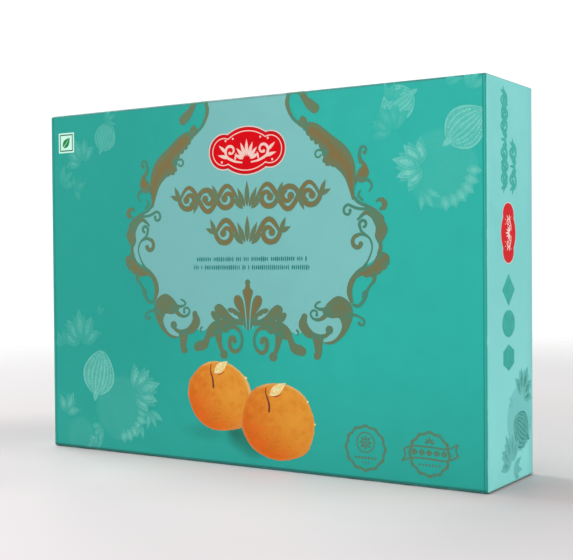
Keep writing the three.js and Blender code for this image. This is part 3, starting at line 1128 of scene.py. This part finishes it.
# THE PICTURED SWEETS
# The printed picture of two round sweets, pressed from tiny fried drops and lit from the upper
# right. Each has an almond sliver and a saffron strand on its top, and pale sugar on its rim.
def knobbly(outline):
    """A round sweet's outline, made uneven by a tenth of a millimetre."""
    draw = random.Random(len(outline))
    return [p + complex(draw.uniform(-0.12, 0.12), draw.uniform(-0.12, 0.12))
            for p in smooth([*outline, outline[0]], 0.8)[:-1]]


def sweet_ink(name, middle, wide, tall):
    """The picture of one sweet, shaded as the front half of a ball."""
    finish = Finish(name)
    across = (finish.x - (middle.real + ARTWORK_MIDDLE)) / wide
    up = (finish.z - middle.imag) / tall
    depth = (1 - across ** 2 - up ** 2).most(0.0) ** 0.5
    ball = finish.add("ShaderNodeCombineXYZ", sockets={0: across, 1: up, 2: depth})
    drops = finish.add("ShaderNodeTexVoronoi", sockets={"Vector": ball, "Scale": 10.0})
    lumps = finish.noise(0.34, 4.0, ball)
    light = across * 0.5 + up * 0.3 + 0.3 * depth + 1.3 * (lumps - 0.5)
    shade = finish.blend(light.rise(-0.65, 0.85), colour(208, 97, 12), colour(224, 152, 50))
    shade = finish.blend(finish.noise(0.2, 3.0, ball).rise(0.5, 0.72) * 0.28, shade, colour(202, 98, 14))
    shade = finish.blend((drops - 0.1).rise(0.3, 0.0) * 0.3, shade, colour(236, 148, 52))
    warm = (0.75 * lumps - across * 0.12 - up * 0.2).rise(0.42, 0.62)
    shade = finish.blend(warm * 0.5, shade, colour(224, 86, 16))
    shade = finish.blend(depth.rise(0.45, 0.08) * 0.55, shade, colour(210, 142, 70))
    lit_rim = depth.rise(0.42, 0.1) * (across * 0.7 + up * 0.7 + 0.5 * (lumps - 0.5)).rise(0.1, 0.7)
    return finish.varnish(finish.blend(lit_rim * 0.7, shade, colour(226, 190, 116)), shine=0.1)


LEFT_SWEET = -16.5 + 31j
RIGHT_SWEET = 15.5 + 21.5j
LEFT_OUTLINE = points((-34, 31), (-32, 25), (-29, 20.5), (-24, 17), (-18, 15.4), (-12, 15.8), (-6, 16.9),
                      (0, 19.5), (3, 26), (1, 35), (-1, 39.3), (-5, 43), (-10, 45.8), (-15, 46.6),
                      (-21, 46.5), (-26, 44.5), (-30, 41), (-33, 37))
RIGHT_OUTLINE = points((-3.7, 20), (-3.4, 16.6), (-1.6, 13.2), (2, 9), (8, 6), (15, 4.6), (23, 5.8),
                       (30, 9), (32.9, 14), (34.3, 21.5), (32.6, 28), (28.4, 34.4), (21, 37.9),
                       (13.4, 38.4), (7, 37.2), (2.4, 34.8), (-0.6, 31), (-2.8, 25.6))
SLIVERS = [petal(-18.8 + 41.4j, -11.4 + 47.1j, 2.1), petal(11.2 + 33j, 19.8 + 38.9j, 2.1)]
UNDER_SLIVERS = [*pen((-18.3, 41.5), (-15.6, 41.1), (-13.2, 42.2), half=(0.2, 0.35, 0.3, 0.15)),
                 *pen((11.8, 33), (14.6, 32.6), (17.4, 33.8), half=(0.2, 0.35, 0.3, 0.15))]
STRANDS = [*pen((-20.6, 45.4), (-21.0, 42.4), (-20.0, 39.6), (-19.5, 37), (-19.4, 34.8),
                half=(0.22, 0.25, 0.4, 0.5, 0.5)),
           *pen((9.4, 36.4), (9.2, 33.8), (10.2, 31.4), (11.0, 28.6), (10.9, 25.8),
                half=(0.22, 0.3, 0.4, 0.5, 0.5))]
CRUMBS = [disc(-1.3 + 40j, 0.5), disc(30.9 + 31.3j, 0.5), disc(34.6 + 21.8j, 0.45)]

almond_ink = mottled("almond_ink", (238, 226, 170), (226, 198, 118), 1.4, 3.0, (0.35, 0.65))
saffron_ink = mottled("saffron_ink", (78, 30, 16), (128, 52, 20), 1.2)
amber_ink = mottled("amber_ink", (168, 66, 24), (190, 88, 34), 1.2)
LEFT, RIGHT, ALMOND, SAFFRON, AMBER = range(5)
SWEET_SHAPES = [
    ([knobbly(LEFT_OUTLINE)], LEFT, None), ([knobbly(RIGHT_OUTLINE)], RIGHT, None),
    (UNDER_SLIVERS, AMBER, None), (SLIVERS, ALMOND, None), (STRANDS, SAFFRON, None),
    (CRUMBS, ALMOND, None)]
left_sweet_ink = sweet_ink("left_sweet_ink", LEFT_SWEET, 17.4, 15.8)
right_sweet_ink = sweet_ink("right_sweet_ink", RIGHT_SWEET, 19.4, 17.1)
film("sweet_picture", SWEET_SHAPES, 2, SLEEVE,
     [left_sweet_ink, right_sweet_ink, almond_ink, saffron_ink, amber_ink])


# THE SEALS
# Two small scalloped rings in a dull bronze line low on the right, one round a plain flower and
# one with a ribbon across it.
def scalloped(middle, radius, lobes, half):
    """A ring in a line twice half across, scalloped where it has lobes."""
    count = 120
    path = [middle + cmath.rect(radius * (1 + 0.035 * math.cos(lobes * a)), a)
            for a in (math.tau * k / count for k in range(count + 1))]
    return strips(*([p + (p - middle) / abs(p - middle) * side for p in path] for side in (half, -half)))


def knots(middle, radius, count):
    """Beads along a ring."""
    return [disc(middle + cmath.rect(radius, math.tau * k / count), 0.8) for k in range(count)]


def dots(middle, step, count, radius):
    """A row of round marks: one in its middle and count to each side."""
    return [disc(middle + complex(step * k, 0), radius) for k in range(-count, count + 1)]


EIGHT_WAYS = [cmath.exp(1j * math.tau * k / 8) for k in range(8)]
FLOWER = [petal(0.8 * way, 3.2 * way, 0.6) for way in EIGHT_WAYS]
RIBBON_EDGES = [*pen((-12.4, -3.6), (-8, -2.0), (0, -1.8), (8, -2.0), (12.6, 0.2), half=(0.4, 0.4)),
                *pen((-11.6, 1.4), (-8, 2.8), (0, 3.0), (8, 2.8), (12.4, 4.8), half=(0.4, 0.4)),
                *pen((-12.4, -3.6), (-11, -1.2), (-11.6, 1.4), half=(0.4, 0.4)),
                *pen((12.6, 0.2), (11.6, 2.2), (12.4, 4.8), half=(0.4, 0.4))]
RIBBON_MARKS = [petal(complex(3.3 * k - 1.5, 0.6), complex(3.3 * k + 1.5, 0.6), 1.3)
                for k in range(-2, 3)]
FIRST_SEAL = 59.1 + 13.7j
FLOWER_MIDDLE = FIRST_SEAL + 2.4j
SECOND_SEAL = 88.5 + 13.6j
SEALS = [
    *scalloped(FIRST_SEAL, 9.1, 12, 0.58), *knots(FIRST_SEAL, 9.3, 12),
    *scalloped(FLOWER_MIDDLE, 4.0, 0, 0.32), *moved(FLOWER, FLOWER_MIDDLE), disc(FLOWER_MIDDLE, 0.6),
    *dots(FIRST_SEAL - 4j, 1.5, 3, 0.6), *dots(FIRST_SEAL - 6j, 1.4, 1, 0.4),
    *scalloped(SECOND_SEAL, 8.7, 12, 0.58), *knots(SECOND_SEAL, 8.9, 12),
    *moved(RIBBON_EDGES, SECOND_SEAL), *moved(RIBBON_MARKS, SECOND_SEAL),
    *fan(SECOND_SEAL + 3.9j, 3.6, 0.5, 2.2, 5), *dots(SECOND_SEAL - 4.4j, 1.5, 3, 0.5),
]
dull_bronze_ink = mottled(
    "dull_bronze_ink", (68, 131, 108), (92, 120, 92), 2.5, 3.0, (0.3, 0.7))
film("seal_lines", [(SEALS, 0, None)], 1, SLEEVE, [dull_bronze_ink])


# THE CORNER MARK
# A small square in the upper left corner: a pale line, a dark line inside it, and a green leaf on
# a pale ground.
PALE_LINE, DARK_LINE, LEAF_GREEN = range(3)
MARK_SHAPES = [([block(-5.1, -4.95, 5.1, 4.95)], PALE_LINE),
               ([block(-4.3, -4.2, 4.3, 4.2)], DARK_LINE),
               ([block(-3.75, -3.6, 3.75, 3.6)], PALE_LINE),
               ([petal(-2.2 - 2.4j, 2.3 + 2.5j, 1.95)], LEAF_GREEN),
               (pen((-2.8, -3.0), (-0.4, -0.5), (1.4, 1.6), half=(0.2, 0.14, 0.08)), PALE_LINE)]
pale_line_ink = mottled("pale_line_ink", (206, 246, 226), (186, 238, 220), 2)
dark_line_ink = mottled("dark_line_ink", (40, 104, 84), (56, 116, 96), 2)
leaf_green_ink = mottled("leaf_green_ink", (0, 134, 62), (0, 120, 54), 1.5)
film("corner_mark", [(moved(group, MARK_MIDDLE), ink, None) for group, ink in MARK_SHAPES], 1, SLEEVE,
     [pale_line_ink, dark_line_ink, leaf_green_ink])


# THE STUDIO
# A pale floor that fades out into a white surround, and three soft square lamps: a small strong
# one high on the left, a broader one high on the front left, and a weak low one on the right that
# fills in the right end. The floor's colour carries painted shadows and painted light round the
# pack, and tints that offset the teal light that the pack throws on it.
FLOOR_RADIUS = 3.0
floor_shape = bmesh.new()
bmesh.ops.create_circle(floor_shape, cap_ends=True, segments=96, radius=FLOOR_RADIUS)
floor_mesh = bpy.data.meshes.new("floor")
floor_shape.to_mesh(floor_mesh)
floor_shape.free()
floor = bpy.data.objects.new("floor", floor_mesh)
bpy.context.scene.collection.objects.link(floor)
floor_finish = Finish("pale_floor")


def from_spot(across, back):
    """How far a point of the floor is from a spot, in millimetres."""
    return ((floor_finish.x - across) ** 2 + (floor_finish.y - back) ** 2) ** 0.5


FADE_START = 150  # from the pack's middle
FADE_END = 1150
from_middle = from_spot(0, 0)
clear = floor_finish.add("ShaderNodeBsdfTransparent")
paper = floor_finish.tree.nodes["Principled BSDF"]
DIM = colour(180, 175, 176)
BRIGHT = colour(250, 244, 245)
PLAIN_GREY = colour(226, 226, 226)
BLUISH = colour(228, 240, 255)
ROSY = colour(255, 235, 236)
DULL_ROSE = colour(205, 178, 180)
# Soft patches of painted shadow, painted light and tints that offset the teal light bounced from
# the pack: a spot, the radius that a patch fades out at, its strength and its tint.
FLOOR_PAINTED_PATCHES = ((-165, -10, 100, 0.6, DIM), (165, -20, 150, 0.2, DIM), (-520, 300, 520, 0.3, DIM),
           (60, -45, 100, 0.6, BRIGHT), (-30, -38, 60, 0.5, BRIGHT),
           (90, 120, 160, 0.45, PLAIN_GREY), (-115, -110, 90, 0.25, DIM),
           (15, -36, 55, 0.35, BLUISH), (85, -38, 50, 0.7, ROSY), (175, -110, 80, 0.15, DIM),
           (-40, 560, 330, 0.35, DIM), (131, -8, 42, 0.55, DULL_ROSE))
# Painted shade: the floor darker behind the pack than in front of it, and rosy near the pack to offset
# the teal light bounced from it.
paper_shade = floor_finish.blend(
    floor_finish.y.rise(-90, 10), colour(232, 223, 225), colour(217, 210, 211))
paper_shade = floor_finish.blend(from_middle.rise(FADE_START, 420), paper_shade, colour(217, 215, 215))
# Painted light on the floor in front of the pack's foot, offsetting the shade that falls there.
painted_light_beneath = floor_finish.y.rise(-60, -26) * floor_finish.y.rise(25, -5)
painted_light_beneath = painted_light_beneath * abs(floor_finish.x - 10).rise(125, 85)
paper_shade = floor_finish.blend(painted_light_beneath, paper_shade, colour(240, 220, 222))
for across, back, radius, strength, tint in FLOOR_PAINTED_PATCHES:
    patch = from_spot(across, back).rise(radius, radius * 0.1) * strength
    paper_shade = floor_finish.blend(patch, paper_shade, tint)
floor_finish.feed(paper.inputs["Base Color"], paper_shade)
paper.inputs["Roughness"].default_value = 0.6
joined = floor_finish.add("ShaderNodeMixShader", sockets={
    0: from_middle.rise(FADE_START, FADE_END), 1: Wire(floor_finish, paper.outputs[0]), 2: clear})
floor_finish.feed(floor_finish.tree.nodes["Material Output"].inputs["Surface"], joined)
floor_mesh.materials.append(floor_finish.material)

surround = bpy.data.worlds.new("surround")
surround.use_nodes = True
sky = Nodes(surround.node_tree)
SURROUND_LIGHT = 1.08
OVERHEAD_LOSS = 0.5  # how much darker the surround is overhead
direction = sky.add("ShaderNodeTexCoord", output="Generated")
steepness = sky.add("ShaderNodeSeparateXYZ", sockets={0: direction}).out("Z")
backdrop = surround.node_tree.nodes["Background"]
backdrop.inputs["Color"].default_value = (1, 1, 1, 1)
sky.feed(backdrop.inputs["Strength"], SURROUND_LIGHT - OVERHEAD_LOSS * steepness.rise(0.35, 0.75))
bpy.context.scene.world = surround
bpy.context.scene.view_settings.view_transform = "Standard"


LAMPS_AIM = Vector((0, 0, 0.08))  # the middle of the pack


def soft_lamp(name, place, size, energy):
    """A square soft lamp that faces the middle of the pack."""
    data = bpy.data.lights.new(name, "AREA")
    data.size = size
    data.energy = energy
    lamp = bpy.data.objects.new(name, data)
    bpy.context.scene.collection.objects.link(lamp)
    lamp.location = place
    lamp.rotation_mode = "QUATERNION"
    lamp.rotation_quaternion = (LAMPS_AIM - lamp.location).to_track_quat("-Z", "Y")


soft_lamp("left_lamp", (-1.2, 0.18, 1.25), 0.8, 13.5)
soft_lamp("front_lamp", (-0.8, -1.6, 1.2), 1.4, 8.4)
soft_lamp("right_fill", (1.5, -0.1, 0.12), 0.8, 6)
